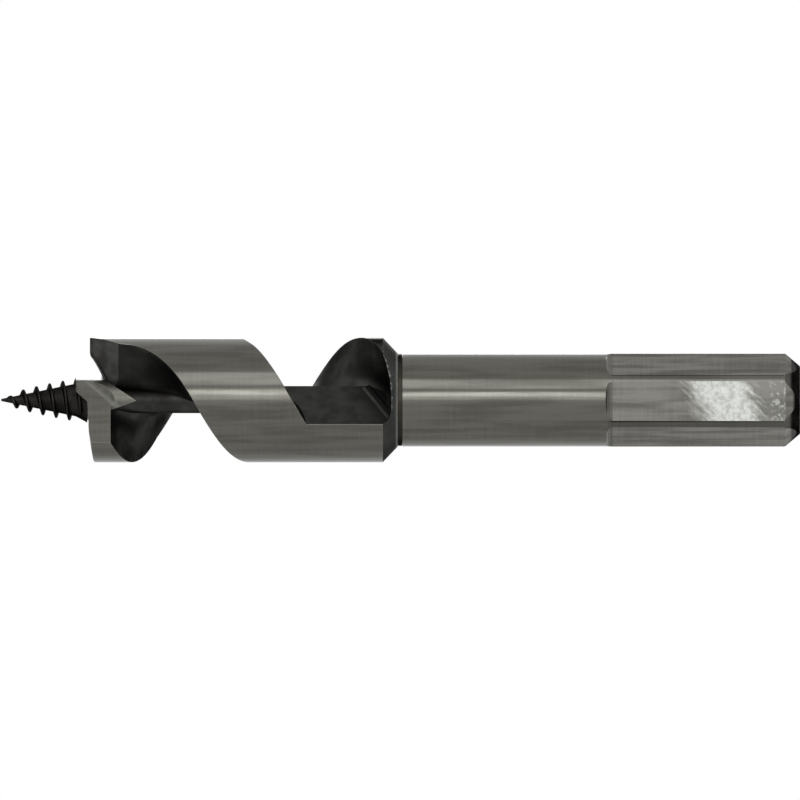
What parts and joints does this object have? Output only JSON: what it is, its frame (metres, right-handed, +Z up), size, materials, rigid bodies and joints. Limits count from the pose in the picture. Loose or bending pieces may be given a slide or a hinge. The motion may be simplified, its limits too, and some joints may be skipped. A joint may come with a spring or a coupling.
{
  "type": "auger bit",
  "caption": "Short single-flight auger bit with a tapered lead screw, a ground lip and spur, a helical flute, and a round shank with a hexagonal drive end, for boring wood.",
  "frame": {"origin": "centre of the drive end's flat face, where the bit seats in a chuck", "axes": "+X along the bit's axis, from the screw's tip to the drive end; +Z up as the bit lies; -Y faces the viewer of the picture"},
  "size_m": [0.109, 0.017, 0.017],
  "materials": {
    "black_steel": "black oxide over cut thread",
    "ground_steel": "ground land, dark oxide in the flute",
    "weld_steel": "dressed weld, oxide dark",
    "shank_steel": "ground and lightly oiled"
  },
  "bodies": {
    "root": {"lead_screw": "black_steel", "auger_body": "ground_steel", "weld_seam": "weld_steel", "shank": "shank_steel"}
  },
  "joints": []
}
